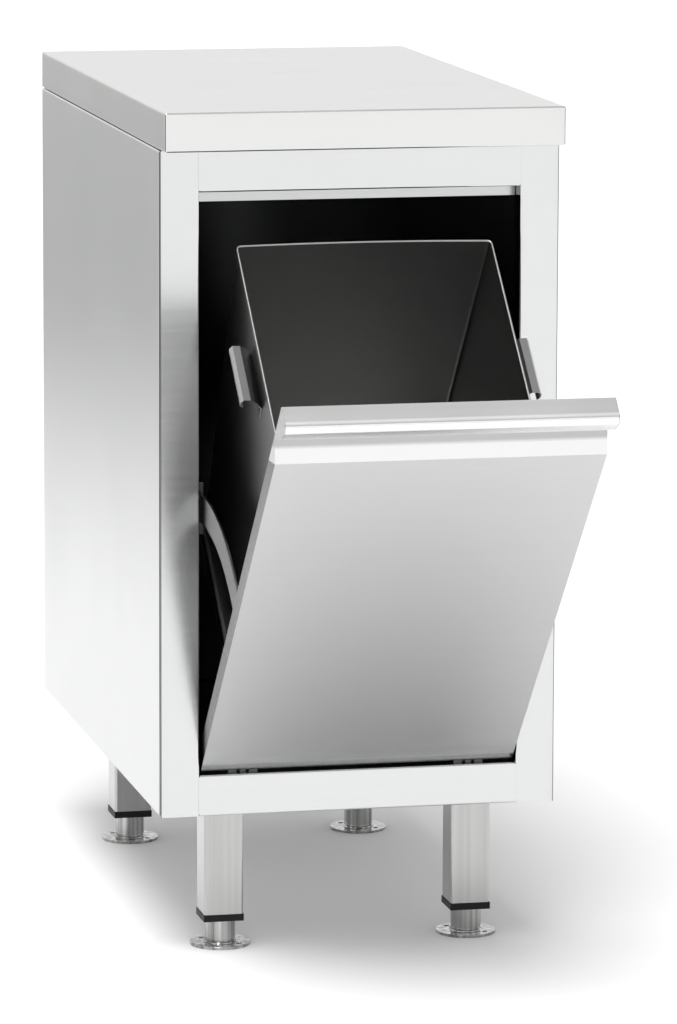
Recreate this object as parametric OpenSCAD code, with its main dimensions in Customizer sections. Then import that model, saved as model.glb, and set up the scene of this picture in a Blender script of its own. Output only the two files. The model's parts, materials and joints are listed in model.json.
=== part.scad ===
// Trash receptacle cabinet: a stainless steel cabinet on four legs with a tilting door
// that carries a lift-out bin. Millimetres. The origin is on the floor, midway between the
// four feet. +X is to the right, +Y to the back and +Z up.
// The door is drawn open, as it rests on the stops of its two stays.

/* [Overall size] */
// Width of the worktop and of the body
cab_w = 400; // [360:1:560]
// Depth of the worktop
cab_d = 700; // [600:1:900]
// Height of the worktop above the floor, feet screwed in
cab_h = 846; // [760:1:1000]
// Height of the body's underside above the floor
leg_h = 146; // [125:1:220]

/* [Sheet thickness] */
// Worktop sheet
top_t = 1.5; // [1:0.1:2]
// Body panels and front frame
panel_t = 1.2; // [0.8:0.1:1.6]
// Door sheets
door_t = 1; // [0.8:0.1:1.2]
// Bin walls and bottom
bin_t = 1; // [0.8:0.1:1.2]
// Shelf that carries the bin
shelf_t = 1.5; // [1:0.1:2]

/* [Worktop] */
// Height of the folded edge
edge_h = 38.5; // [34:0.5:46]
// Overhang in front of the front frame
overhang = 25; // [15:1:35]
// Inward return under the edge
edge_return = 15; // [10:1:20]
// Thickness of the board under the sheet
core_t = 18; // [12:1:22]
// Width of the feet of the two bearers
bearer_foot = 20; // [16:1:26]
// Width of the bearers' raised part
bearer_w = 50; // [40:1:70]
// Distance from the worktop's middle to each bearer
bearer_y = 240; // [200:1:260]

/* [Front frame] */
// Width of a stile
stile_w = 39; // [34:1:46]
// Depth of the folded stiles
stile_deep = 25; // [24:1:32]
// Height of the top rail
top_rail_h = 41; // [34:1:50]
// Height of the bottom rail
bottom_rail_h = 41; // [36:1:50]
// Visible height of the strip that the closed door rests against
strip_show = 11; // [8:1:16]

/* [Side and back panels] */
// Flange under the worktop
side_flange_top = 30; // [26:1:40]
// Flange under the cabinet floor
side_flange_bottom = 20; // [15:1:24]
// Flange behind the front frame
side_flange_front = 15; // [10:1:20]
// Flange at the back
side_flange_back = 15; // [12:1:25]

/* [Door] */
// Angle of the open door from the vertical
open_angle = 44.1; // [30:0.1:50]
// Gap at each side of the door
door_gap_side = 2.5; // [2:0.1:4]
// Gap above the closed door
door_gap_top = 5.7; // [4:0.1:8]
// Gap below the closed door
door_gap_bottom = 9; // [8:0.1:12]
// Thickness of the door
door_deep = 20; // [19.5:0.5:24]
// Height of the open back of the door, at its foot
liner_up = 22; // [20:1:30]
// Width of the door's inward back flanges
door_flange = 12; // [8:1:14]

/* [Handle] */
// From the top of the door down to the crease of the finger groove
crease_down = 61; // [56:1:70]
// Depth of the finger groove
groove_deep = 17; // [14:0.5:17.5]
// Radius of the handle's upper bend
nose_r = 7; // [5:0.5:9]
// Radius of the handle's lower bend
under_r = 4; // [3:0.5:5]
// Height between the middles of the two bends
nose_h = 14; // [12:0.5:16]
// How far the nose stands out in front of the door
nose_out = 5.7; // [4:0.1:8]
// Height of the handle's back lip
back_lip = 19; // [12:1:22]

/* [Hinges] */
// Hinge axis behind the door's face
hinge_in = 10; // [9.5:0.1:10.5]
// Hinge axis above the door's foot
hinge_up = 4.4; // [4:0.1:6]
// Distance from the middle of the door to each hinge
hinge_x = 115; // [100:1:125]
// Radius of the hinge pin
pin_r = 4; // [3:0.1:4]
// Radial clearance of a pin in its bush
pin_fit = 0.06; // [0.03:0.01:0.1]
// Wall of the plastic bush
bush_wall = 1.5; // [1.2:0.1:1.6]
// Thickness of the lug in the door
lug_t = 4; // [3:0.5:6]
// Thickness of each ear of the bracket
ear_t = 3; // [2:0.5:4]

/* [Door stays] */
// Inner radius of the curved blade, about the hinge
stay_r = 238; // [200:1:260]
// Width of the blade
stay_w = 28; // [20:1:32]
// Thickness of the blade
stay_t = 2.5; // [2:0.1:3]
// Clearance of the blade in its slot
stay_fit = 0.6; // [0.4:0.1:1]
// Radius of the stop stud
stud_r = 4; // [3:0.1:5]
// Thickness of the slotted guide
guide_t = 3; // [2:0.1:4]

/* [Bin] */
// Width over the rim
rim_w = 257; // [220:1:260]
// Depth over the rim
rim_d = 330; // [280:1:340]
// Height of the bin
bin_h = 384; // [330:1:390]
// Draft of the side walls in degrees
side_draft = 2; // [1:0.1:3]
// Draft of the front and back walls in degrees
end_draft = 3.5; // [2.5:0.1:4]
// Extra thickness of the hemmed rim
hem_t = 1.4; // [1:0.1:2]
// Height of the hem
hem_h = 12; // [8:1:16]
// Gap between the door's back and the bin's front wall
bin_gap = 2; // [2:0.1:3]
// Gap between the bin and its shelf
seat_gap = 0.3; // [0.2:0.1:0.5]
// Foot of the bin's front wall above the door's foot
bin_up = 28.1; // [27:0.1:34]

/* [Bin grips] */
// Length of a grip
grip_l = 70; // [60:1:120]
// How far a grip stands out from the wall
grip_out = 22.5; // [18:0.5:24]
// Height of the grip's arch
grip_h = 13.8; // [12:0.1:16]
// Grip's foot below the rim
grip_down = 34; // [28:1:60]
// Grip's middle behind the bin's middle
grip_back = 18; // [0:1:30]
// Height of the grip's welded flange
grip_flange = 14; // [10:1:20]

/* [Legs and feet] */
// Width of the square leg
leg_w = 40; // [30:1:50]
// Wall of the leg
leg_t = 1.5; // [1:0.1:2]
// Leg's centre from the side of the body
leg_side = 73; // [65:1:85]
// Front legs' centre from the front of the body
leg_front = 66; // [64:1:90]
// Rear legs' centre from the back of the body
leg_rear = 116; // [70:1:130]
// Visible height of the plastic cap
cap_h = 7; // [5:1:10]
// Length of the cap's plug inside the leg
plug_h = 26; // [20:1:32]
// Diameter of the foot's tube
foot_d = 30.5; // [26:0.1:34]
// Height of the foot from the floor to its top
foot_h = 26.7; // [24:0.1:32]
// Gap between the foot and the cap, foot screwed in
foot_gap = 0.3; // [0.2:0.1:0.5]
// Diameter of the foot's flange
flange_d = 61; // [56:1:70]
// Thickness of the flange
flange_t = 3; // [2:0.5:4]
// Pitch circle of the flange's four screw holes
flange_pcd = 45; // [42:1:50]
// Radius of a screw hole
flange_hole_r = 2.75; // [2.2:0.05:3.3]
// How far a foot screws out
foot_travel = 50; // [20:1:50]
// Radius of the threaded spindle
spindle_r = 5; // [4:0.1:6]
// Radial clearance of the spindle in the cap
spindle_fit = 0.08; // [0.03:0.01:0.1]

/* [Hidden] */
$fn = 64;

// Overlap of a cutter past the sheet that it cuts
cut = 1;
// Radial clearance of a pressed or welded fit
snug = 0.03;
// Visible seam between two sheets
seam = 0.3;
// Gap between the worktop's edge and the body
shadow_gap = 0.8;
// Clearance of a screw in its hole
screw_fit = 0.2;
// Screws and bolts: shank, head and length past the last sheet
bolt_r = 3;
bolt_head_r = 5;
bolt_head_h = 4;
bolt_out = 6;
screw_r = 2.5;
screw_head_r = 4.5;
screw_head_h = 3;
screw_out = 5;

// Body planes
body_top = cab_h - edge_h - shadow_gap;
body_d = cab_d - overhang;
leg_y = (body_d - leg_front - leg_rear) / 2;
front_y = -leg_y - leg_front;
back_y = leg_y + leg_rear;
mid_y = (front_y + back_y) / 2;
edge_y = front_y - overhang;
side_x = cab_w / 2;
open_x = side_x - stile_w;
rail_top = leg_h + bottom_rail_h;
open_top = body_top - top_rail_h;
floor_top = leg_h + 2 * panel_t;

// Door in its own frame: y is the depth behind its face, z the height above its foot
door_h = open_top - door_gap_top - rail_top - door_gap_bottom;
door_x = open_x - door_gap_side;
hinge_y = front_y + hinge_in;
hinge_z = rail_top + door_gap_bottom + hinge_up;
crease = [0, door_h - crease_down];
groove = [groove_deep, crease[1] + groove_deep];
nose = [nose_r - nose_out, door_h - nose_r];
// The lower bend sits a little behind the upper one
under_in = 1.7;
under = nose + [under_in, -nose_h];
// Where the straight faces run into the handle's two bends
function way(v) = atan2(v[1], v[0]);
function at_angle(c, r, a) = c + r * [cos(a), sin(a)];
front_a = way(nose - under) + acos((under_r - nose_r) / norm(nose - under));
under_a = way(under - groove) + acos(-under_r / norm(under - groove));
function arc_points(c, r, a1, a2, n) = [for (i = [0 : n]) at_angle(c, r, a1 + (a2 - a1) * i / n)];
handle_outline = concat([groove], arc_points(under, under_r, under_a, front_a, 3),
    arc_points(nose, nose_r, front_a, 90, 12), [[door_deep, door_h]]);
strip_y = front_y + door_deep + seam;
rail_back = top_rail_h - 8;
rail_flange = 20;

// Hinge across the door: lug in the middle, then bush collar, running gap, ear and pin head
bush_r = pin_r + pin_fit + bush_wall;
bush_collar = 0.8;
side_play = 0.3;
lug_r = 8;
ear_r = 7;
ear_out = lug_t / 2 + bush_collar + side_play;
head_t = 2;
head_play = 1.5;
hinge_room = ear_out + ear_t + head_t + head_play;
bracket_w = 30;
bracket_t = 2.5;
bracket_lip = 6;
lug_in = 6;
lug_h = 50;
lug_leaf = 22;
lug_leaf_t = 2.5;

// Stay blade against the inner side of the door's flange
stay_x = door_x - door_t - stay_t;
stay_mid = stay_r + stay_w / 2;
guide_front = stile_deep - hinge_in;
guide_back = guide_front + guide_t;
stud_y = guide_back + stud_r + side_play;
stud_z = sqrt(stay_mid * stay_mid - stud_y * stud_y);
stay_root = asin((hinge_in - door_t - side_play) / (stay_r + stay_w));
// Degrees of blade past the stud
stay_past = 2.2;
stay_tip = -open_angle - asin(stud_y / stay_mid) - stay_past;
stud_out = 3;
guide_in = 2.4;
guide_edge = 14;
guide_leaf = 22;
guide_screw_in = 10;

// Bin: sizes of its outer walls at a height above its foot
top_w = rim_w - 2 * hem_t;
top_d = rim_d - 2 * hem_t;
function wall_w(h) = top_w - 2 * (bin_h - h) * tan(side_draft);
function wall_d(h) = top_d - 2 * (bin_h - h) * tan(end_draft);

// Shelf under the bin
shelf_play = 4.8;
shelf_side = wall_w(0) / 2 + shelf_play;
shelf_deep = wall_d(0) + bin_gap;
shelf_lip = 12;
shelf_back_lip = 15;
shelf_web = 55;
shelf_front = 34;
shelf_ear = 18;
shelf_screw_low = 6;
shelf_screw_high = 24;

// Legs and feet
leg_x = side_x - leg_side;
plate_w = 80;
plate_t = 3;
// The plates end behind the returns of the front frame
plate_d = min(plate_w, 2 * (leg_front - stile_deep - cut));
bolt_in = 10;
plate_z = leg_h + panel_t - plate_t;
cap_z = foot_h + foot_gap;
tube_z = cap_z + cap_h;
cap_over = 1;
plug_fit = 0.2;
web_t = 3;
foot_wall = 1.5;
collar_r = 9;
collar_t = 4;
spindle_top = tube_z + plug_h + foot_travel + 2 * cut;

steel = [0.83, 0.84, 0.84];
bright_steel = [0.92, 0.92, 0.92];
dark_steel = [0.45, 0.46, 0.46];
zinc = [0.7, 0.71, 0.72];
black_plastic = [0.07, 0.07, 0.07];
white_plastic = [0.88, 0.88, 0.85];
board = [0.72, 0.6, 0.42];

// Folded sheet: a path drawn at one face, with the sheet's thickness on the path's right
function unit(v) = v / norm(v);
function right_of(v) = [v[1], -v[0]];
function fold_corner(a, b, c, t) =
    let (n1 = right_of(unit(b - a)), n2 = right_of(unit(c - b))) b + t * (n1 + n2) / (1 + n1 * n2);
function other_face(p, t) = [
    for (i = [0 : len(p) - 1])
        i == 0 ? p[0] + t * right_of(unit(p[1] - p[0]))
        : i == len(p) - 1 ? p[i] + t * right_of(unit(p[i] - p[i - 1]))
        : fold_corner(p[i - 1], p[i], p[i + 1], t)
];
function flip(p) = [for (i = [len(p) - 1 : -1 : 0]) p[i]];
module folded(p, t) {
    polygon(concat(p, flip(other_face(p, t))));
}

// A section in Y and Z, drawn out along X between two places
module along_x(x1, x2) {
    translate([x1, 0, 0]) rotate([90, 0, 90]) linear_extrude(x2 - x1) children();
}
module round_x(x1, x2, r) {
    translate([x1, 0, 0]) rotate([0, 90, 0]) cylinder(h = x2 - x1, r = r);
}
module box(x1, x2, y1, y2, z1, z2) {
    translate([x1, y1, z1]) cube([x2 - x1, y2 - y1, z2 - z1]);
}
// The same shape on the left, which is drawn, or on the right
module on_side(s) {
    mirror([s > 0 ? 1 : 0, 0, 0]) children();
}
module door_frame() {
    translate([0, hinge_y, hinge_z]) rotate([open_angle, 0, 0])
        translate([0, -hinge_in, -hinge_up]) children();
}
module bin_frame() {
    door_frame() translate([0, door_deep + bin_gap, bin_up]) rotate([-end_draft, 0, 0]) children();
}

// Worktop
module worktop() {
    color(bright_steel) difference() {
        box(-side_x, side_x, edge_y, back_y, cab_h - edge_h, cab_h);
        box(-side_x + top_t, side_x - top_t, edge_y + top_t, back_y - top_t,
            cab_h - edge_h + top_t, cab_h - top_t);
        box(-side_x + edge_return, side_x - edge_return, edge_y + edge_return, back_y - edge_return,
            cab_h - edge_h - cut, cab_h - top_t);
    }
}
module worktop_core() {
    inset = top_t + seam;
    color(board) box(-side_x + inset, side_x - inset, edge_y + inset, back_y - inset,
        cab_h - top_t - core_t, cab_h - top_t);
}
bearer_x = side_x - edge_return - 2 * cut;
bearer_h = cab_h - top_t - core_t - body_top;
bearer_screw_x = side_x - side_flange_top + (bearer_x - side_x + side_flange_top) / 2;
bearer_screw_y = bearer_w / 2 + bearer_foot / 2;
module top_bearer(y) {
    b = bearer_w / 2;
    f = b + bearer_foot;
    color(zinc) difference() {
        translate([0, y, body_top]) along_x(-bearer_x, bearer_x)
            folded([[-f, top_t], [-b, top_t], [-b, bearer_h], [b, bearer_h], [b, top_t], [f, top_t]], top_t);
        bearer_screw_places() cylinder(h = 3 * top_t + 2 * cut, r = bolt_r + screw_fit, center = true);
    }
}
module bearer_screw_places() {
    for (x = [-1, 1], y = [mid_y - bearer_y, mid_y + bearer_y], s = [-1, 1])
        translate([x * bearer_screw_x, y + s * bearer_screw_y, body_top]) children();
}
module bearer_screws() {
    color(zinc) bearer_screw_places() {
        translate([0, 0, -panel_t - bolt_head_h]) cylinder(h = bolt_head_h, r = bolt_head_r);
        translate([0, 0, -panel_t - cut]) cylinder(h = panel_t + top_t + bolt_out, r = bolt_r);
    }
}

// Body panels
module side_panel(s) {
    y1 = front_y + panel_t + seam;
    color(steel) on_side(s) difference() {
        union() {
            translate([0, 0, leg_h]) linear_extrude(body_top - leg_h)
                folded([[-side_x + side_flange_front, y1], [-side_x, y1], [-side_x, back_y],
                    [-side_x + side_flange_back, back_y]], panel_t);
            box(-side_x, -side_x + side_flange_bottom, front_y + stile_deep + cut, back_y,
                leg_h, leg_h + panel_t);
            box(-side_x, -side_x + side_flange_top, front_y + stile_deep + cut, back_y,
                body_top - panel_t, body_top);
        }
        bearer_screw_places() cylinder(h = 2 * panel_t + 2 * cut, r = bolt_r + screw_fit, center = true);
    }
}
module back_panel() {
    inset = panel_t + seam;
    color(steel) box(-side_x + inset, side_x - inset, back_y - 2 * panel_t, back_y - panel_t,
        floor_top + seam, body_top - inset);
}
module base_panel() {
    inset = panel_t + seam;
    color(steel) difference() {
        union() {
            box(-side_x + inset, side_x - inset, front_y + stile_deep + cut, back_y - 2 * panel_t - seam,
                leg_h + panel_t, floor_top);
            box(-open_x + seam, open_x - seam, front_y + inset, front_y + stile_deep + 2 * cut,
                leg_h + panel_t, floor_top);
        }
        leg_places() bolt_places() cylinder(h = 2 * leg_h, r = bolt_r + screw_fit);
    }
}

// Front frame
module stile(s) {
    leaf = guide_leaf + 2 * cut;
    color(bright_steel) on_side(s) difference() {
        translate([0, 0, leg_h]) linear_extrude(body_top - leg_h)
            folded([[-open_x - leaf, front_y + stile_deep], [-open_x, front_y + stile_deep],
                [-open_x, front_y], [-side_x, front_y]], panel_t);
        guide_screw_shanks(screw_fit);
    }
}
module top_rail() {
    color(bright_steel) along_x(-open_x + seam, open_x - seam)
        folded([[strip_y, open_top + rail_back], [strip_y, open_top], [front_y, open_top],
            [front_y, body_top], [front_y + rail_flange, body_top]], panel_t);
}
module bottom_rail() {
    color(bright_steel) along_x(-open_x + seam, open_x - seam)
        folded([[front_y + stile_deep, leg_h], [front_y, leg_h], [front_y, rail_top],
            [front_y + stile_deep, rail_top]], panel_t);
}
module stop_strip() {
    color(bright_steel) box(-open_x + seam, open_x - seam, strip_y, strip_y + panel_t,
        open_top - strip_show, open_top + rail_back);
}

// Legs
module leg_places() {
    for (x = [-leg_x, leg_x], y = [-leg_y, leg_y]) translate([x, y, 0]) children();
}
module bolt_places() {
    a = plate_w / 2 - bolt_in;
    b = plate_d / 2 - bolt_in;
    for (x = [-a, a], y = [-b, b]) translate([x, y, 0]) children();
}
module leg_tube(x, y) {
    color(steel) translate([x, y, tube_z]) difference() {
        translate([-leg_w / 2, -leg_w / 2, 0]) cube([leg_w, leg_w, plate_z - tube_z]);
        translate([-leg_w / 2 + leg_t, -leg_w / 2 + leg_t, -cut])
            cube([leg_w - 2 * leg_t, leg_w - 2 * leg_t, plate_z - tube_z + 2 * cut]);
    }
}
module leg_plate(x, y) {
    color(zinc) translate([x, y, 0]) difference() {
        translate([-plate_w / 2, -plate_d / 2, plate_z]) cube([plate_w, plate_d, plate_t]);
        bolt_places() cylinder(h = 2 * leg_h, r = bolt_r + screw_fit);
    }
}
module leg_bolts() {
    color(zinc) leg_places() bolt_places() {
        translate([0, 0, floor_top]) cylinder(h = bolt_head_h, r = bolt_head_r);
        translate([0, 0, plate_z - 2 * cut]) cylinder(h = floor_top + 3 * cut - plate_z, r = bolt_r);
    }
}
module leg_cap(x, y) {
    collar = leg_w + cap_over;
    plug = leg_w - 2 * leg_t - 2 * plug_fit;
    color(black_plastic) translate([x, y, cap_z]) difference() {
        union() {
            translate([-collar / 2, -collar / 2, 0]) cube([collar, collar, cap_h]);
            translate([-plug / 2, -plug / 2, 0]) cube([plug, plug, cap_h + plug_h]);
        }
        translate([0, 0, -cut]) cylinder(h = cap_h + plug_h + 2 * cut, r = spindle_r + spindle_fit);
    }
}

// Feet
module foot(x, y) {
    color(steel) translate([x, y, 0]) difference() {
        union() {
            cylinder(h = flange_t, r = flange_d / 2);
            cylinder(h = foot_h, r = foot_d / 2);
        }
        translate([0, 0, -cut]) cylinder(h = foot_h - web_t + cut, r = foot_d / 2 - foot_wall);
        cylinder(h = foot_h + cut, r = spindle_r + snug);
        for (a = [45 : 90 : 315]) rotate(a) translate([flange_pcd / 2, 0, -cut])
            cylinder(h = flange_t + 2 * cut, r = flange_hole_r);
    }
}
module spindle(x, y) {
    color(zinc) translate([x, y, foot_h - web_t - collar_t]) {
        cylinder(h = spindle_top - foot_h + web_t + collar_t, r = spindle_r);
        cylinder(h = collar_t, r = collar_r);
    }
}

// Hinges
module hinge_bracket(s) {
    low = rail_top - hinge_z;
    bracket_back = stile_deep - hinge_in - cut;
    // The ear's straight edges end a little inside its round
    inside = ear_r - 0.5;
    color(zinc) on_side(s) translate([-hinge_x, hinge_y, hinge_z]) difference() {
        union() {
            for (x = [-ear_out - ear_t, ear_out]) along_x(x, x + ear_t) {
                circle(r = ear_r);
                polygon([at_angle([0, 0], inside, 225), [cut, low], [bracket_back, low],
                    [bracket_back, low + bracket_lip], at_angle([0, 0], inside, 30)]);
            }
            box(-bracket_w / 2, bracket_w / 2, 2 * cut, bracket_back, low, low + bracket_t);
        }
        round_x(-bracket_w, bracket_w, pin_r + pin_fit);
    }
}
module hinge_pin(s) {
    out = ear_out + ear_t + screw_fit;
    color(zinc) on_side(s) translate([-hinge_x, hinge_y, hinge_z]) {
        round_x(-out - cut, out + cut, pin_r);
        round_x(-out - head_t, -out, pin_r + 2);
        round_x(out, out + head_t, pin_r + 1.5);
    }
}
module hinge_lug(s) {
    color(zinc) on_side(s) door_frame() translate([-hinge_x, 0, 0]) difference() {
        union() {
            along_x(-lug_t / 2, lug_t / 2) {
                translate([hinge_in, hinge_up]) circle(r = lug_r);
                translate([lug_in, hinge_up]) square([door_deep - door_t - lug_in, lug_h]);
            }
            box(-lug_t / 2, lug_leaf, door_deep - door_t - lug_leaf_t, door_deep - door_t,
                liner_up + 4 * cut, hinge_up + lug_h);
        }
        translate([0, hinge_in, hinge_up]) round_x(-lug_t, lug_t, bush_r + snug);
    }
}
module hinge_bush(s) {
    color(white_plastic) on_side(s) door_frame() translate([-hinge_x, hinge_in, hinge_up]) difference() {
        union() {
            round_x(-lug_t / 2 - bush_collar, lug_t / 2 + bush_collar / 2, bush_r);
            round_x(-lug_t / 2 - bush_collar, -lug_t / 2, bush_r + 1.5);
        }
        round_x(-lug_t, lug_t, pin_r + pin_fit);
    }
}

// Door
module door_skin() {
    side_area = [[0, 0], crease, groove, [door_deep, groove[1]], [door_deep, 0]];
    inner_x = door_x - door_t;
    color(bright_steel) door_frame() difference() {
        union() {
            along_x(-door_x, door_x) folded([[door_deep - door_t, 0], [0, 0], crease, groove], door_t);
            along_x(-inner_x, inner_x)
                folded(concat([crease], handle_outline, [[door_deep, door_h - back_lip]]), door_t);
            for (x = [-door_x, inner_x]) along_x(x, x + door_t) polygon(side_area);
            for (x = [-inner_x, inner_x - door_flange])
                box(x, x + door_flange, door_deep - 2 * door_t, door_deep - door_t, liner_up, groove[1]);
        }
        for (s = [-1, 1]) on_side(s) {
            box(-hinge_x - hinge_room, -hinge_x + hinge_room, door_t, door_deep + cut, -cut, door_t + cut);
            stay_slot();
        }
    }
}
module stay_slot() {
    back = door_deep - hinge_in;
    low = hinge_up + sqrt(stay_r * stay_r - back * back) - stay_fit;
    high = hinge_up + stay_r + stay_w + stay_fit;
    box(-door_x + door_t, -stay_x + stay_fit, door_deep - 2 * door_t - stay_fit, door_deep + cut, low, high);
}
module door_liner() {
    inset = door_t + seam;
    color(steel) door_frame() difference() {
        box(-door_x + inset, door_x - inset, door_deep - door_t, door_deep,
            liner_up, door_h - back_lip - seam);
        for (s = [-1, 1]) on_side(s) {
            stay_slot();
            shelf_screw_places() rotate([90, 0, 0])
                cylinder(h = 4 * door_t, r = screw_r + screw_fit, center = true);
        }
    }
}
module handle_end(s) {
    color(bright_steel) on_side(s) door_frame() along_x(-door_x, -door_x + door_t)
        polygon(concat(handle_outline, [[door_deep, groove[1]]]));
}

// Stays
module stay(s) {
    far = stay_r + 2 * stay_w;
    middle = (stay_root + stay_tip) / 2;
    color(steel) on_side(s) difference() {
        door_frame() translate([0, hinge_in, hinge_up]) along_x(-stay_x - stay_t, -stay_x) intersection() {
            difference() {
                circle(r = stay_r + stay_w, $fn = 180);
                circle(r = stay_r, $fn = 180);
            }
            polygon([[0, 0], far * [-sin(stay_root), cos(stay_root)], 1.2 * far * [-sin(middle), cos(middle)],
                far * [-sin(stay_tip), cos(stay_tip)]]);
        }
        translate([0, hinge_y + stud_y, hinge_z + stud_z]) round_x(-side_x, 0, stud_r + snug);
    }
}
module stay_studs() {
    color(zinc) for (s = [-1, 1]) on_side(s) translate([0, hinge_y + stud_y, hinge_z + stud_z])
        round_x(-stay_x - stay_t - stud_out, -stay_x + stud_out, stud_r);
}
guide_low = stay_r - guide_edge;
guide_high = stay_r + stay_w + guide_screw_in;
module stay_guide(s) {
    slot_low = sqrt(stay_r * stay_r - guide_back * guide_back) - stay_fit;
    slot_high = sqrt(pow(stay_r + stay_w, 2) - guide_front * guide_front) + stay_fit;
    color(steel) on_side(s) difference() {
        box(-open_x - guide_leaf, -stay_x + stay_fit + guide_in, hinge_y + guide_front, hinge_y + guide_back,
            hinge_z + guide_low, hinge_z + guide_high);
        box(-stay_x - stay_t - stay_fit, -stay_x + stay_fit,
            hinge_y + guide_front - cut, hinge_y + guide_back + cut, hinge_z + slot_low, hinge_z + slot_high);
        guide_screw_shanks(screw_fit);
    }
}
module guide_screw_places() {
    for (z = [guide_low + guide_screw_in, guide_high - guide_screw_in])
        translate([-open_x - guide_leaf / 2 - 2 * cut, hinge_y + guide_back, hinge_z + z]) children();
}
module guide_screw_shanks(fit) {
    guide_screw_places() translate([0, cut, 0]) rotate([90, 0, 0])
        cylinder(h = guide_t + panel_t + screw_out + cut, r = screw_r + fit);
}
module guide_screws() {
    color(zinc) for (s = [-1, 1]) on_side(s) {
        guide_screw_shanks(0);
        guide_screw_places() rotate([-90, 0, 0]) cylinder(h = screw_head_h, r = screw_head_r);
    }
}

// Shelf that carries the bin
module shelf_screw_places() {
    for (z = [bin_up + shelf_screw_low, bin_up + shelf_screw_high])
        translate([-shelf_side - shelf_ear / 2 - cut, door_deep, z]) children();
}
module bin_shelf() {
    wide = shelf_side + shelf_t;
    lean = bin_gap - shelf_t / 2;
    high = shelf_front - cut;
    color(steel) difference() {
        union() {
            door_frame() box(-wide - shelf_ear, wide + shelf_ear, door_deep, door_deep + shelf_t,
                bin_up - seat_gap - shelf_t, bin_up + shelf_front);
            bin_frame() {
                box(-wide, wide, -lean, shelf_deep + shelf_t, -seat_gap - shelf_t, -seat_gap);
                box(-wide, wide, shelf_deep, shelf_deep + shelf_t, -seat_gap - shelf_t, shelf_back_lip);
                for (x = [-wide, shelf_side]) along_x(x, x + shelf_t)
                    polygon([[-lean, -seat_gap - shelf_t], [shelf_deep + shelf_t, -seat_gap - shelf_t],
                        [shelf_deep + shelf_t, shelf_lip], [shelf_web, shelf_lip], [0, high],
                        [-lean - high * tan(end_draft), high]]);
            }
        }
        door_frame() for (s = [-1, 1]) on_side(s) shelf_screw_places() rotate([90, 0, 0])
            cylinder(h = 4 * shelf_t, r = screw_r + screw_fit, center = true);
    }
}
module shelf_screws() {
    color(zinc) door_frame() for (s = [-1, 1]) on_side(s) shelf_screw_places() {
        translate([0, shelf_t, 0]) rotate([-90, 0, 0]) cylinder(h = screw_head_h, r = screw_head_r);
        translate([0, shelf_t + cut, 0]) rotate([90, 0, 0])
            cylinder(h = shelf_t + door_t + screw_out, r = screw_r);
    }
}

// Bin
module tapered(h1, h2, grow) {
    w1 = wall_w(h1) / 2 + grow;
    w2 = wall_w(h2) / 2 + grow;
    d1 = wall_d(h1) / 2 + grow;
    d2 = wall_d(h2) / 2 + grow;
    translate([0, wall_d(0) / 2, 0]) polyhedron(
        points = [[-w1, -d1, h1], [w1, -d1, h1], [w1, d1, h1], [-w1, d1, h1],
            [-w2, -d2, h2], [w2, -d2, h2], [w2, d2, h2], [-w2, d2, h2]],
        faces = [[0, 1, 2, 3], [7, 6, 5, 4], [0, 4, 5, 1], [1, 5, 6, 2], [2, 6, 7, 3], [3, 7, 4, 0]]);
}
module bin_shell() {
    color(dark_steel) bin_frame() difference() {
        union() {
            tapered(0, bin_h, 0);
            tapered(bin_h - hem_h, bin_h, hem_t);
        }
        tapered(-cut, bin_h + cut, -bin_t);
    }
}
module bin_base() {
    w = wall_w(0) / 2 - bin_t - snug;
    d = wall_d(0) / 2 - bin_t - snug;
    m = wall_d(0) / 2;
    color(dark_steel) bin_frame() box(-w, w, m - d, m + d, 0, bin_t);
}
module bin_grip(s) {
    foot_z = bin_h - grip_down;
    out = grip_out;
    high = grip_h;
    middle = wall_d(0) / 2 + grip_back;
    color(steel) on_side(s) bin_frame() translate([-wall_w(foot_z) / 2, middle, foot_z])
        rotate([0, -side_draft, 0]) translate([0, grip_l / 2, 0]) rotate([90, 0, 0])
            linear_extrude(grip_l) mirror([1, 0]) folded([[0, -grip_flange], [0, 0],
                [0.22 * out, 0.55 * high], [0.55 * out, 0.96 * high], [out - 3, high],
                [out, high - 4.5], [out - 0.3, high - 9], [out - 3.2, high - 12.2]], panel_t);
}

worktop();
worktop_core();
top_bearer(mid_y - bearer_y);  // top_bearer_front
top_bearer(mid_y + bearer_y);  // top_bearer_rear
bearer_screws();
side_panel(-1);  // side_panel_left
side_panel(1);  // side_panel_right
back_panel();
base_panel();
stile(-1);  // stile_left
stile(1);  // stile_right
top_rail();
bottom_rail();
stop_strip();
leg_tube(-leg_x, -leg_y);  // leg_tube_front_left
leg_tube(leg_x, -leg_y);  // leg_tube_front_right
leg_tube(-leg_x, leg_y);  // leg_tube_rear_left
leg_tube(leg_x, leg_y);  // leg_tube_rear_right
leg_plate(-leg_x, -leg_y);  // leg_plate_front_left
leg_plate(leg_x, -leg_y);  // leg_plate_front_right
leg_plate(-leg_x, leg_y);  // leg_plate_rear_left
leg_plate(leg_x, leg_y);  // leg_plate_rear_right
leg_cap(-leg_x, -leg_y);  // leg_cap_front_left
leg_cap(leg_x, -leg_y);  // leg_cap_front_right
leg_cap(-leg_x, leg_y);  // leg_cap_rear_left
leg_cap(leg_x, leg_y);  // leg_cap_rear_right
leg_bolts();
stay_guide(-1);  // stay_guide_left
stay_guide(1);  // stay_guide_right
guide_screws();
hinge_bracket(-1);  // hinge_bracket_left
hinge_bracket(1);  // hinge_bracket_right
hinge_pin(-1);  // hinge_pin_left
hinge_pin(1);  // hinge_pin_right
door_skin();
door_liner();
handle_end(-1);  // handle_end_left
handle_end(1);  // handle_end_right
stay(-1);  // stay_left
stay(1);  // stay_right
stay_studs();
hinge_lug(-1);  // hinge_lug_left
hinge_lug(1);  // hinge_lug_right
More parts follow.
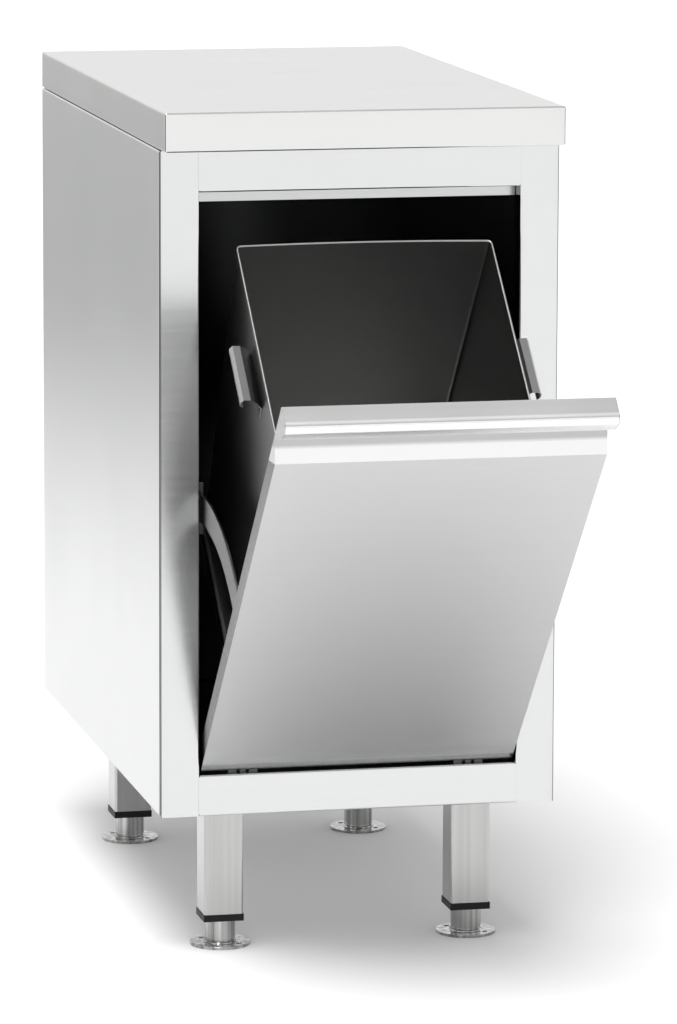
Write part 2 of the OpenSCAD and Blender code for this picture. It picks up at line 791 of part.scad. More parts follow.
hinge_bush(-1);  // hinge_bush_left
hinge_bush(1);  // hinge_bush_right
bin_shelf();
shelf_screws();
bin_shell();
bin_base();
bin_grip(-1);  // bin_grip_left
bin_grip(1);  // bin_grip_right
foot(-leg_x, -leg_y);  // foot_front_left
foot(leg_x, -leg_y);  // foot_front_right
foot(-leg_x, leg_y);  // foot_rear_left
foot(leg_x, leg_y);  // foot_rear_right
spindle(-leg_x, -leg_y);  // spindle_front_left
spindle(leg_x, -leg_y);  // spindle_front_right
spindle(-leg_x, leg_y);  // spindle_rear_left
spindle(leg_x, leg_y);  // spindle_rear_right
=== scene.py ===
# %% [markdown]
# # Trash receptacle cabinet
#
# The cabinet is folded stainless sheet: a worktop over a body on four legs, and a door that
# tilts out at the top and carries a bin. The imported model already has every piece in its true
# size, so Blender is used here for the looks: the camera and the light, the finish of each
# metal and plastic, and the small real shapes that sheet work has, such as soft folds, welds,
# a rolled rim, drive recesses and threads.

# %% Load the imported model
import json
import math

import bmesh
import bpy
from mathutils import Matrix, Vector


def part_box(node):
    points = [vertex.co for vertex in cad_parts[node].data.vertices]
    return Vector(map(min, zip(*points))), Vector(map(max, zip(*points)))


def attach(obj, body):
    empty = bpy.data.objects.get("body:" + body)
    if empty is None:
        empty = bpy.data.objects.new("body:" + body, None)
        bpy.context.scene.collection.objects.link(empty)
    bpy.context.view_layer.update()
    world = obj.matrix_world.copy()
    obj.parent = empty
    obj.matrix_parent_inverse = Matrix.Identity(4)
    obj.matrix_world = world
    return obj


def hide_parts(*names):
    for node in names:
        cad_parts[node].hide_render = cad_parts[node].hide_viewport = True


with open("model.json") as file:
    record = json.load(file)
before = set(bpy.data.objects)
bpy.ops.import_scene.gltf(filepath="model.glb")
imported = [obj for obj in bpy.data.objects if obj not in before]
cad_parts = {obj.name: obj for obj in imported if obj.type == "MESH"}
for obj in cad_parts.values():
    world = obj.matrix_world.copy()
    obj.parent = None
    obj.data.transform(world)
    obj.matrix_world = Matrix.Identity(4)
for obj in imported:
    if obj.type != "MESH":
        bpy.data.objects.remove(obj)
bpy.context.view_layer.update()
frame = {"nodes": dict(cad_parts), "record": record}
NODES = frame["nodes"]

# %% [markdown]
# ## Camera
#
# The picture was taken with a long lens from a little left of the middle and slightly above
# the worktop, so the sides hardly converge. A camera can be aimed by eye, but the vanishing
# lines of the worktop and the body give its place and turn exactly, so it is set from those.

# %% Camera
CAMERA_PLACE = Vector((-1.2675, -5.8823, 1.3962))
YAW, PITCH, ROLL = (math.radians(a) for a in (12.612, 9.446, 0.207))
LENS_MM, CLIP_END = 206.38, 60


def camera_turn(yaw, pitch, roll):
    """The camera's turn: yaw to the right, pitch down, and roll about the line of sight."""
    level = math.cos(pitch)
    ahead = Vector((math.sin(yaw) * level, math.cos(yaw) * level, -math.sin(pitch)))
    side = Vector((math.cos(yaw), -math.sin(yaw), 0))
    up = side.cross(ahead)
    right = side * math.cos(roll) + up * math.sin(roll)
    top = up * math.cos(roll) - side * math.sin(roll)
    return Matrix((right, top, -ahead)).transposed()


lens = bpy.data.cameras.new("long_lens")
lens.lens = LENS_MM
lens.clip_end = CLIP_END
camera = bpy.data.objects.new("camera", lens)
camera.matrix_world = Matrix.Translation(CAMERA_PLACE) @ camera_turn(YAW, PITCH, ROLL).to_4x4()
bpy.context.scene.collection.objects.link(camera)
bpy.context.scene.camera = camera
print("camera at", tuple(round(v, 3) for v in CAMERA_PLACE))

# %% [markdown]
# ## Studio
#
# Stainless steel shows its surroundings more than itself. A white room and floor give the
# bright front. Boards or lamps close to the object would stand in the way when it is looked at
# from behind, so the room itself is graded: bright near the floor, darker higher up, and lighter
# again at the ceiling. A narrow band of strip light runs round it and draws the thin white
# lines on the folds and on the handle's nose. The main lamp stands high in front. It keeps the
# floor white before the cabinet and leaves shade under the tilted door, and that shade,
# mirrored in the door, is what darkens its lower half.

# %% World
scene = bpy.context.scene
scene.view_settings.view_transform = "Standard"
room = bpy.data.worlds.new("white_room")
scene.world = room
room.use_nodes = True
# each row is how steeply up a direction looks, from 0 to 1, and the room's tone there
ROOM_TONES = ((0.19, 0.92), (0.26, 0.92), (0.32, 2.2), (0.38, 0.60), (0.50, 0.45), (0.75, 0.68))
sky = room.node_tree.nodes
height = sky.new("ShaderNodeSeparateXYZ")
tones = sky.new("ShaderNodeValToRGB")
place = sky.new("ShaderNodeTexCoord")
stops = tones.color_ramp.elements
while len(stops) < len(ROOM_TONES):
    stops.new(1.0)
for stop, (up, tone) in zip(stops, ROOM_TONES):
    stop.position = up
    stop.color = (tone, tone, tone, 1)
room.node_tree.links.new(place.outputs["Generated"], height.inputs[0])
room.node_tree.links.new(height.outputs["Z"], tones.inputs["Fac"])
room.node_tree.links.new(tones.outputs["Color"], sky["Background"].inputs["Color"])
print("room tones", len(stops))


# %% Mesh helpers
def link_to_scene(obj):
    scene.collection.objects.link(obj)
    return obj


def new_mesh_object(name, build):
    """A new object whose mesh is made by build(bm), in metres and in the frame of the model."""
    bm = bmesh.new()
    build(bm)
    bmesh.ops.recalc_face_normals(bm, faces=bm.faces)
    mesh = bpy.data.meshes.new(name)
    bm.to_mesh(mesh)
    bm.free()
    return link_to_scene(bpy.data.objects.new(name, mesh))


# %% Floor
FLOOR_HALF = 45.0


def floor_sheet(bm):
    corners = [(-1, -1), (1, -1), (1, 1), (-1, 1)]
    bm.faces.new([bm.verts.new((x * FLOOR_HALF, y * FLOOR_HALF, 0)) for x, y in corners])


floor = new_mesh_object("studio_floor", floor_sheet)
print("floor", floor.dimensions[:])


# %% Soft lamps
def soft_lamp(name, place, aim, width, height, watts):
    """A lamp with a wide flat face, turned towards a point."""
    data = bpy.data.lights.new(name, "AREA")
    data.shape = "RECTANGLE"
    data.size, data.size_y = width, height
    data.energy = watts
    lamp = link_to_scene(bpy.data.objects.new(name, data))
    lamp.location = place
    lamp.rotation_euler = (Vector(aim) - Vector(place)).to_track_quat("-Z", "Y").to_euler()


def far_lamp(name, towards, spread, strength):
    """A lamp so far away that its light is even over the whole floor. spread softens its shadow."""
    data = bpy.data.lights.new(name, "SUN")
    data.angle = math.radians(spread)
    data.energy = strength
    lamp = link_to_scene(bpy.data.objects.new(name, data))
    lamp.rotation_euler = (-Vector(towards)).to_track_quat("-Z", "Y").to_euler()


KEY_TOWARDS, KEY_SPREAD, KEY_STRENGTH = (-0.22, -0.38, 1.0), 30, 2.4
BOX_PLACE, BOX_AIM, BOX_SIZE, BOX_WATTS = (-1.6, -4.4, 2.2), (0, -0.6, 0.4), (2.4, 1.0), 12
far_lamp("key_above_front", KEY_TOWARDS, KEY_SPREAD, KEY_STRENGTH)
soft_lamp("front_softbox", BOX_PLACE, BOX_AIM, *BOX_SIZE, BOX_WATTS)
print("lamps", len(bpy.data.lights))

# %% [markdown]
# ## Finishes
#
# Satin stainless has fine parallel scratches from the sanding belt. Each scratch is too small
# to see, but together they stretch every reflection across the grain, and belts leave faint
# light and dark lines. Noise that is stretched along the grain makes both: a very fine one
# tilts the surface through a bump, and a wider one changes the tone a little. Wide soft clouds
# on top stand for handling and wiping, and a slow wave for the slight buckle of thin sheet.


# %% Noise over the surface
TONE_LOW, TONE_HIGH, NOISE_ROUGH = 0.3, 0.7, 0.55


def new_finish(name):
    """A new material, its nodes, its links and its main shader."""
    finish = bpy.data.materials.new(name)
    finish.use_nodes = True
    nodes = finish.node_tree.nodes
    return finish, nodes, finish.node_tree.links, nodes["Principled BSDF"]


def add_noise(nodes, links, stretch, detail):
    """Noise over the object's own coordinates. stretch is how dense it is along X, Y and Z."""
    place = nodes.new("ShaderNodeTexCoord")
    fit = nodes.new("ShaderNodeMapping")
    fit.inputs["Scale"].default_value = stretch
    noise = nodes.new("ShaderNodeTexNoise")
    noise.inputs["Scale"].default_value = 1.0
    noise.inputs["Detail"].default_value = detail
    noise.inputs["Roughness"].default_value = NOISE_ROUGH
    links.new(place.outputs["Object"], fit.inputs["Vector"])
    links.new(fit.outputs["Vector"], noise.inputs["Vector"])
    return noise.outputs["Fac"]


def spread(nodes, links, value, low, high):
    """Noise fitted between two numbers. Nearly all of it lies from TONE_LOW to TONE_HIGH."""
    fit = nodes.new("ShaderNodeMapRange")
    fit.inputs["From Min"].default_value = TONE_LOW
    fit.inputs["From Max"].default_value = TONE_HIGH
    fit.inputs["To Min"].default_value = low
    fit.inputs["To Max"].default_value = high
    links.new(value, fit.inputs["Value"])
    return fit.outputs["Result"]


# %% Masks by direction
def combine(nodes, links, a, b, how="ADD"):
    """Two values joined into one, as a rule by adding them."""
    join = nodes.new("ShaderNodeMath")
    join.operation = how
    links.new(a, join.inputs[0])
    links.new(b, join.inputs[1])
    return join.outputs[0]


def choose(nodes, links, mask, a, b):
    """a where the mask is 0 and b where it is 1."""
    mix = nodes.new("ShaderNodeMix")
    links.new(mask, mix.inputs["Factor"])
    links.new(a, mix.inputs["A"])
    links.new(b, mix.inputs["B"])
    return mix.outputs["Result"]


def axis_values(nodes, links, kind):
    """X, Y and Z of a point's place on the object (Object) or of where it faces (Normal)."""
    place = nodes.new("ShaderNodeTexCoord")
    axes = nodes.new("ShaderNodeSeparateXYZ")
    links.new(place.outputs[kind], axes.inputs[0])
    return axes.outputs


def facing_x(nodes, links, least=0.7):
    """1 on faces that look left or right, less than about 45 degrees off."""
    size = nodes.new("ShaderNodeMath")
    size.operation = "ABSOLUTE"
    test = nodes.new("ShaderNodeMath")
    test.operation = "GREATER_THAN"
    test.inputs[1].default_value = least
    links.new(axis_values(nodes, links, "Normal")["X"], size.inputs[0])
    links.new(size.outputs[0], test.inputs[0])
    return test.outputs[0]


# %% Colours from values
def tint(nodes, links, value, dark, light):
    """A colour from dark to light as the value goes from TONE_LOW to TONE_HIGH."""
    ramp = nodes.new("ShaderNodeValToRGB")
    ramp.color_ramp.elements[0].position = TONE_LOW
    ramp.color_ramp.elements[1].position = TONE_HIGH
    ramp.color_ramp.elements[0].color = (*dark, 1)
    ramp.color_ramp.elements[1].color = (*light, 1)
    links.new(value, ramp.inputs["Fac"])
    return ramp.outputs["Color"]


def layer(nodes, links, under, over, mask):
    """One colour laid over another where the mask is 1."""
    mix = nodes.new("ShaderNodeMix")
    mix.data_type = "RGBA"
    links.new(mask, mix.inputs["Factor"])
    links.new(under, mix.inputs["A"])
    if isinstance(over, tuple):
        mix.inputs["B"].default_value = (*over, 1)
    else:
        links.new(over, mix.inputs["B"])
    return mix.outputs["Result"]


# %% [markdown]
# Some faces of a sheet get a tone of their own that is painted light or shade. The inside of the
# body is coloured nearly black: painted shade, for the shade inside the cabinet. The finger groove
# and the handle's nose get a painted highlight and painted shade: the groove is bright at its foot
# and shaded at its top under the nose, and the nose is brightest low on its front. A narrow darker
# line down each side of the front and down the worktop's right front corner is painted shade that
# draws the dark outline of those edges. A second material on those faces would need the mesh split
# there, so they are marked by their place instead, with a test of the coordinates inside the one
# material.

# %% Masks by place
SKIN, LINE, CORNER_DEEP = 0.0013, 0.0010, 0.0015
side_low, side_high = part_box("side_panel_left")
INSIDE = (("X", "GREATER_THAN", side_low.x + SKIN), ("X", "LESS_THAN", -side_low.x - SKIN),
          ("Y", "GREATER_THAN", side_low.y), ("Y", "LESS_THAN", side_high.y - SKIN),
          ("Z", "GREATER_THAN", side_low.z + SKIN), ("Z", "LESS_THAN", side_high.z + SKIN))
# where a darker line is painted as shade down the outer edges, for their dark outline
LEFT_LINE = (("X", "LESS_THAN", side_low.x + LINE),)
RIGHT_LINE = (("X", "GREATER_THAN", -side_low.x - LINE),)
CORNER_LINE = RIGHT_LINE + (("Y", "LESS_THAN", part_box("worktop")[0].y + CORNER_DEEP),)
print("inside of the body from", round(side_low.y, 4), "to", round(side_high.y - SKIN, 4))


def place_mask(nodes, links, tests):
    """1 where all tests hold. A test is an axis, a comparison and a limit in metres."""
    axes = axis_values(nodes, links, "Object")
    mask = None
    for axis, how, limit in tests:
        test = nodes.new("ShaderNodeMath")
        test.operation = how
        test.inputs[1].default_value = limit
        links.new(axes[axis], test.inputs[0])
        held = test.outputs[0]
        mask = combine(nodes, links, mask, held, "MULTIPLY") if mask else held
    return mask


# %% Painted highlight and shade of the finger groove and the nose
GROOVE_FOOT, HANDLE_BACK = 0.5516, -0.6720
GROOVE = (("Z", "GREATER_THAN", GROOVE_FOOT), ("Y", "GREATER_THAN", HANDLE_BACK))
NOSE = (("Z", "GREATER_THAN", GROOVE_FOOT), ("Y", "LESS_THAN", HANDLE_BACK))
# painted highlight and shade: the groove goes from bright at its foot to shaded at its top under
# the nose, and the nose is brightest low on its front
GROOVE_FADE, GROOVE_LIGHT_AND_SHADE = (0.5600, 0.5740), ((0.76, 0.765, 0.76), (0.46, 0.465, 0.46))
NOSE_FADE, NOSE_LIGHT_AND_SHADE = (0.5955, 0.5985), ((0.86, 0.865, 0.86), (0.66, 0.665, 0.66))


def paint_handle_light(nodes, links, colour):
    """Lay the painted highlight and shade of the groove and the nose over the colour of the rest of
    the sheet.
    """
    places = ((GROOVE, GROOVE_FADE, GROOVE_LIGHT_AND_SHADE), (NOSE, NOSE_FADE, NOSE_LIGHT_AND_SHADE))
    for tests, (low, high), (foot, head) in places:
        rise = nodes.new("ShaderNodeMapRange")
        rise.interpolation_type = "SMOOTHSTEP"
        rise.inputs["From Min"].default_value = low
        rise.inputs["From Max"].default_value = high
        links.new(axis_values(nodes, links, "Object")["Z"], rise.inputs["Value"])
        tones = tint(nodes, links, rise.outputs["Result"], foot, head)
        colour = layer(nodes, links, colour, tones, place_mask(nodes, links, tests))
    return colour


# %% Brushed steel
GRAINS = {"x": (25, 1500, 1500), "y": (1500, 25, 1500), "z": (1500, 1500, 25)}
BELTS = {"x": (1.6, 150, 150), "y": (150, 1.6, 150), "z": (150, 150, 1.6)}
WIPES, BUCKLES = (7, 7, 7), (3.2, 3.2, 3.2)
BELT_GLOSS, WIPE_GLOSS = 0.012, 0.02
SCRATCH_DEPTH, BUCKLE_DEPTH, BUMP_DEPTH = 0.002, 0.25, 0.001


def brushed(name, grey, rough, along, belt=0.02, turned=None, painted_side_shade=None, painted_shade_patches=(),
            painted_handle_light=False):
    """Satin stainless with the grain along one axis, and along turned on left and right faces.

    The tone given for faces that look left or right is painted shade, for the shade at the sides.
    The patches are pairs of a painted shade tone and the tests of the place where it lies. The last
    argument lays the painted highlight and shade of the groove and the nose, for the door's skin."""
    finish, nodes, links, shader = new_finish(name)
    shader.inputs["Metallic"].default_value = 1.0
    fine = add_noise(nodes, links, GRAINS[along], 2.0)
    streak = add_noise(nodes, links, BELTS[along], 2.0)
    if turned:
        mask = facing_x(nodes, links)
        fine = choose(nodes, links, mask, fine, add_noise(nodes, links, GRAINS[turned], 2.0))
        streak = choose(nodes, links, mask, streak, add_noise(nodes, links, BELTS[turned], 2.0))
    clouds = add_noise(nodes, links, WIPES, 2.0)
    wave = add_noise(nodes, links, BUCKLES, 1.0)
    light = [g * (1 + belt / 2) for g in grey]
    dark = [g * (1 - belt / 2) for g in grey]
    colour = tint(nodes, links, streak, dark, light)
    # painted shade on the faces that look left or right
    if painted_side_shade:
        colour = layer(nodes, links, colour, painted_side_shade, facing_x(nodes, links))
    # painted shade where each patch lies
    for tone, tests in painted_shade_patches:
        colour = layer(nodes, links, colour, tone, place_mask(nodes, links, tests))
    # painted highlight and shade on the door skin's groove and nose
    if painted_handle_light:
        colour = paint_handle_light(nodes, links, colour)
    links.new(colour, shader.inputs["Base Color"])
    gloss = spread(nodes, links, streak, rough - BELT_GLOSS, rough + BELT_GLOSS)
    wiped = spread(nodes, links, clouds, -WIPE_GLOSS, WIPE_GLOSS)
    links.new(combine(nodes, links, gloss, wiped), shader.inputs["Roughness"])
    height = combine(nodes, links, spread(nodes, links, fine, 0, SCRATCH_DEPTH),
                     spread(nodes, links, wave, 0, BUCKLE_DEPTH))
    bump = nodes.new("ShaderNodeBump")
    bump.inputs["Strength"].default_value = 1.0
    bump.inputs["Distance"].default_value = BUMP_DEPTH
    links.new(height, bump.inputs["Height"])
    links.new(bump.outputs["Normal"], shader.inputs["Normal"])
    return finish


# %% The steel finishes
# painted shade: the first tone colours the inside of the body nearly black, for the shade inside
# it; the second draws a darker line along outer edges, for their dark outline
INSIDE_SHADE, EDGE_SHADE = (0.035, 0.036, 0.037), (0.20, 0.20, 0.20)
finishes = {
    # painted shade: the worktop's faces that look left or right are darker than its top, and a
    # darker line is painted down its right front corner
    "worktop_steel": brushed("worktop_steel", (0.70, 0.70, 0.695), 0.20, "x", turned="y",
                             painted_side_shade=(0.60, 0.60, 0.595), painted_shade_patches=((EDGE_SHADE, CORNER_LINE),)),
    # painted shade: a dark line down the outer edge of each stile, and the inside of the body
    # nearly black
    "frame_steel": brushed("frame_steel", (0.66, 0.665, 0.665), 0.17, "x",
                           painted_shade_patches=((EDGE_SHADE, LEFT_LINE), (EDGE_SHADE, RIGHT_LINE), (INSIDE_SHADE, INSIDE))),
    "rail_steel": brushed("rail_steel", (0.66, 0.665, 0.665), 0.17, "x"),
    # painted shade: the stop strip is darker than the frame, for the shade under the top rail
    "strip_steel": brushed("strip_steel", (0.54, 0.545, 0.545), 0.22, "x"),
    # painted shade: the inside of the body is coloured nearly black
    "panel_steel": brushed("panel_steel", (0.62, 0.625, 0.625), 0.20, "z",
                           painted_shade_patches=((INSIDE_SHADE, INSIDE),)),
    "door_steel": brushed("door_steel", (0.59, 0.595, 0.59), 0.22, "x"),
    # painted shade: the door skin's faces that look left or right are nearly black, for the shade
    # at the door's sides that the stiles mirror
    "door_skin_steel": brushed("door_skin_steel", (0.59, 0.595, 0.59), 0.22, "x",
                               painted_side_shade=(0.10, 0.10, 0.10), painted_handle_light=True),
    "liner_steel": brushed("liner_steel", (0.64, 0.645, 0.64), 0.22, "x"),
    # painted shade: the bin is darker than the other steel, and its faces that look left or right
    # darker still, for the shade inside it
    "bin_steel": brushed("bin_steel", (0.39, 0.39, 0.385), 0.34, "x", painted_side_shade=(0.17, 0.17, 0.167)),
    "grip_steel": brushed("grip_steel", (0.31, 0.31, 0.31), 0.22, "y"),
    "shelf_steel": brushed("shelf_steel", (0.22, 0.22, 0.22), 0.38, "x"),
    # painted shade: nearly black, so that the stays and the hinge parts that share this finish look
    # as dark as the shade round them
    "stay_steel": brushed("stay_steel", (0.13, 0.13, 0.13), 0.30, "y"),
    "leg_steel": brushed("leg_steel", (0.46, 0.46, 0.455), 0.16, "z", belt=0.16),
    # painted reflection: the strong light and dark upright bands that this belt value draws on the
    # feet stand for the shaded floor mirrored in them
    "foot_steel": brushed("foot_steel", (0.38, 0.38, 0.375), 0.12, "z", belt=1.1),
    "zinc_steel": brushed("zinc_steel", (0.34, 0.345, 0.35), 0.34, "z"),
}
print("steels:", len(finishes))


# %% [markdown]
# The caps and bushes are moulded plastic. The mould leaves a fine even texture and the gate a
# little cloudiness, so one noise tilts the surface and a wider one changes tone and gloss.


# %% Moulded plastics and board
MOULD_GRAIN, GATE_CLOUDS = (1800, 1800, 1800), (40, 40, 40)
GATE_SHADE, GATE_GLOSS = 0.8, 0.06
MOULD_BUMP, MOULD_DEPTH, MOULD_SHEEN = 0.15, 0.0003, 0.14


def moulded(name, colour, rough):
    """Plastic or pressed board with a fine even grain and slightly cloudy tone and gloss."""
    finish, nodes, links, shader = new_finish(name)
    grain = add_noise(nodes, links, MOULD_GRAIN, 2.0)
    clouds = add_noise(nodes, links, GATE_CLOUDS, 3.0)
    shade = [c * GATE_SHADE for c in colour]
    gloss = spread(nodes, links, clouds, rough - GATE_GLOSS, rough + GATE_GLOSS)
    links.new(tint(nodes, links, clouds, shade, colour), shader.inputs["Base Color"])
    links.new(gloss, shader.inputs["Roughness"])
    bump = nodes.new("ShaderNodeBump")
    bump.inputs["Strength"].default_value = MOULD_BUMP
    bump.inputs["Distance"].default_value = MOULD_DEPTH
    links.new(grain, bump.inputs["Height"])
    links.new(bump.outputs["Normal"], shader.inputs["Normal"])
    shader.inputs["Specular IOR Level"].default_value = MOULD_SHEEN
    return finish


finishes["black_plastic"] = moulded("black_plastic", (0.012, 0.012, 0.012), 0.45)
finishes["white_plastic"] = moulded("white_plastic", (0.70, 0.70, 0.67), 0.4)
finishes["chipboard"] = moulded("chipboard", (0.45, 0.32, 0.18), 0.8)
print("finishes of the object:", len(finishes))


# %% [markdown]
# The left side of the body mirrors the floor behind it. With a white floor all round, that side
# would look as white as the front. So grey paper lies on the floor behind the left side, out of
# the picture, and its soft edge gives the side its gradient from bright below to grey above. A
# board that stands there would do the same, but it would hide the cabinet from behind.

# %% Floor finish
PAPER_PLACE, PAPER_HALF, PAPER_SOFT = (-1.6, 8.0), (2.5, 7.6), 0.46
FLOOR_TONE, PAPER_TONE, FLOOR_ROUGH = 0.88, 0.38, 0.9
floor_finish, nodes, links, shader = new_finish("studio_floor")
place = nodes.new("ShaderNodeTexCoord")
fit = nodes.new("ShaderNodeMapping")
fit.vector_type = "TEXTURE"
fit.inputs["Location"].default_value = (*PAPER_PLACE, 0)
fit.inputs["Scale"].default_value = (*PAPER_HALF, 1)
reach = nodes.new("ShaderNodeVectorMath")
reach.operation = "LENGTH"
fade = nodes.new("ShaderNodeMapRange")
fade.interpolation_type = "SMOOTHSTEP"
fade.inputs["From Min"].default_value = PAPER_SOFT
fade.inputs["From Max"].default_value = 1.0
fade.inputs["To Min"].default_value = PAPER_TONE
fade.inputs["To Max"].default_value = FLOOR_TONE
links.new(place.outputs["Object"], fit.inputs["Vector"])
links.new(fit.outputs["Vector"], reach.inputs[0])
links.new(reach.outputs["Value"], fade.inputs["Value"])
links.new(fade.outputs["Result"], shader.inputs["Base Color"])
shader.inputs["Roughness"].default_value = FLOOR_ROUGH
floor.data.materials.append(floor_finish)
print("floor tones", PAPER_TONE, "to", FLOOR_TONE)

# %% Put each finish on its nodes
SLOT_OF = {part["node"]: part["material_slot"] for part in frame["record"]["subparts"]}
# the stop strip and the hinge parts get darker finishes that are painted shade
OWN_FINISH = {"stop_strip": "strip_steel", "door_skin": "door_skin_steel",
              "hinge_bracket_left": "stay_steel", "hinge_bracket_right": "stay_steel",
              "hinge_lug_left": "stay_steel", "hinge_lug_right": "stay_steel"}
for node, obj in NODES.items():
    for place in obj.material_slots:
        place.material = finishes[OWN_FINISH.get(node, SLOT_OF[node])]
print("finished nodes:", len(SLOT_OF))

# %% [markdown]
# ## Soft edges
#
# No sheet edge is razor sharp: a fold has a radius and a cut edge is deburred. These narrow
# rounds catch the light as thin bright lines, and they tell the eye that it is metal. A bevel
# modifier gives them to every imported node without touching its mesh. The nodes come with split
# corners, so a weld goes first, and the shading is evened out after it.


# %% Even shading
def even_shading(fold_angle):
    """Geometry nodes that shade a mesh smooth, but keep its folds sharp."""
    tree = bpy.data.node_groups.new("even_shading", "GeometryNodeTree")
    for side in ("INPUT", "OUTPUT"):
        tree.interface.new_socket("Geometry", in_out=side, socket_type="NodeSocketGeometry")
    start = tree.nodes.new("NodeGroupInput")
    drop = tree.nodes.new("GeometryNodeRemoveAttribute")
    drop.inputs["Name"].default_value = "custom_normal"
    smooth = tree.nodes.new("GeometryNodeSetShadeSmooth")
    angle = tree.nodes.new("GeometryNodeInputMeshEdgeAngle")
    is_fold = tree.nodes.new("FunctionNodeCompare")
    is_fold.operation = "GREATER_THAN"
    is_fold.inputs["B"].default_value = math.radians(fold_angle)
    sharp = tree.nodes.new("GeometryNodeSetShadeSmooth")
    sharp.domain = "EDGE"
    sharp.inputs["Shade Smooth"].default_value = False
    end = tree.nodes.new("NodeGroupOutput")
    join = tree.links.new
    join(start.outputs["Geometry"], drop.inputs["Geometry"])
    join(drop.outputs["Geometry"], smooth.inputs["Geometry"])
    join(smooth.outputs["Geometry"], sharp.inputs["Geometry"])
    join(angle.outputs["Unsigned Angle"], is_fold.inputs["A"])
    join(is_fold.outputs["Result"], sharp.inputs["Selection"])
    join(sharp.outputs["Geometry"], end.inputs["Geometry"])
    return tree


CRISP_FOLD, PLAIN_FOLD = 20, 50
EVEN = {angle: even_shading(angle) for angle in (CRISP_FOLD, PLAIN_FOLD)}
SAME_POINT = 0.000002
BEVEL_FROM, BEVEL_STEPS, FLAT_LEAD = 30, 2, 80


def weigh_normals(obj):
    """Let the large flat faces lead the shading, so that a fold's round doesn't tint them."""
    lean = obj.modifiers.new("flat_faces_lead", "WEIGHTED_NORMAL")
    lean.keep_sharp = True
    lean.weight = FLAT_LEAD


def soften(obj, radius, fold):
    """Round an object's edges with modifiers. An edge stays sharp above the angle called fold."""
    merge = obj.modifiers.new("merge_corners", "WELD")
    merge.merge_threshold = SAME_POINT
    edge = obj.modifiers.new("soft_edges", "BEVEL")
    edge.limit_method = "ANGLE"
    edge.angle_limit = math.radians(BEVEL_FROM)
    edge.width = radius
    edge.segments = BEVEL_STEPS
    shade = obj.modifiers.new("even_shading", "NODES")
    shade.node_group = EVEN[fold]
    weigh_normals(obj)


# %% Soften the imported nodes
THIN_EDGE, PLAIN_EDGE, CAP_EDGE = 0.0003, 0.0004, 0.0008
THIN = ("door_skin", "door_liner", "handle_end_left", "handle_end_right", "bin_base")
CRISP = ("bin_grip_left", "bin_grip_right")
for node, obj in NODES.items():
    radius = CAP_EDGE if node.startswith("leg_cap") else THIN_EDGE if node in THIN else PLAIN_EDGE
    soften(obj, radius, CRISP_FOLD if node in CRISP else PLAIN_FOLD)
print("softened nodes:", len(NODES))

# %% [markdown]
# ## Pieces with their small shapes
#
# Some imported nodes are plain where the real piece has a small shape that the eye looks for: a
# fold with a radius, a rolled rim, a thread, a drive recess. Those nodes are replaced here by
# pieces built point by point, in the same place and to the same outer size. Four ways of
# building cover them all: a loft joins rings of points into a skin, a folded sheet is drawn out
# from its section, a bead runs a weld along a corner, and a lathe turns a profile about an axis.

# %% Loft
FOLD_ANGLE = 40


def loft(bm, rings, close=False):
    """Skin over rings of points. close joins the last ring to the first instead of capping both."""
    rows = [[bm.verts.new(point) for point in ring] for ring in rings]
    pairs = list(zip(rows, rows[1:]))
    if close:
        pairs.append((rows[-1], rows[0]))
    else:
        bm.faces.new(rows[0])
        bm.faces.new(rows[-1])
    for near, far in pairs:
        for k in range(len(near)):
            bm.faces.new((near[k], near[k - 1], far[k - 1], far[k]))


# %% New piece
def new_piece(name, build, body, slot, stands_for=(), finish=None):
    """A piece that rides on a body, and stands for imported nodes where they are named."""
    piece = new_mesh_object(name, build)
    piece.data.shade_smooth()
    piece.data.set_sharp_from_angle(angle=math.radians(FOLD_ANGLE))
    weigh_normals(piece)
    piece.data.materials.append(finishes[finish or slot])
    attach(piece, body)
    if stands_for:
        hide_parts(*stands_for)
    return piece


# %% Rings and bends
def rounded_ring(x1, x2, y1, y2, radius, z, steps=4, side_steps=1):
    """A level rectangle with round corners. side_steps splits its straight sides."""
    corners = ((x2 - radius, y1 + radius, -90), (x2 - radius, y2 - radius, 0),
               (x1 + radius, y2 - radius, 90), (x1 + radius, y1 + radius, 180))
    arcs = []
    for cx, cy, turn in corners:
        angles = [math.radians(turn + 90 * k / steps) for k in range(steps + 1)]
        arcs.append([Vector((cx + radius * math.cos(a), cy + radius * math.sin(a), z))
                     for a in angles])
    ring = []
    for arc, following in zip(arcs, arcs[1:] + arcs[:1]):
        ring += arc
        ring += [arc[-1].lerp(following[0], k / side_steps) for k in range(1, side_steps)]
    return ring


def bend(across, up, radius, start, end, steps=4):
    """Points along a fold: (distance, height) pairs on an arc from one angle to another."""
    angles = [math.radians(start + (end - start) * k / steps) for k in range(steps + 1)]
    return [(across + radius * math.cos(a), up + radius * math.sin(a)) for a in angles]


# %% [markdown]
# The worktop is one sheet, folded down on all four sides and in again at the bottom. Where two
# folded edges meet at a corner, a narrow seam stays open and shows as a dark upright line. A box
# with a bevel would look right from above, but its underside would be missing. So the sheet's
# section is drawn once, as a path with real fold radii outside and inside, and each point of
# the path becomes a ring around the whole top.

# %% Worktop
top_low, top_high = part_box("worktop")
TOP_SHEET, TOP_RETURN, TOP_MIDDLE = 0.0015, 0.015, 0.03
TOP_FOLD, TOP_FOLD_INSIDE = 0.0018, 0.0004
TOP_CORNER, TOP_CORNER_STEPS, TOP_SEAM = 0.0022, 6, 0.0012
SHARP = 0.0002


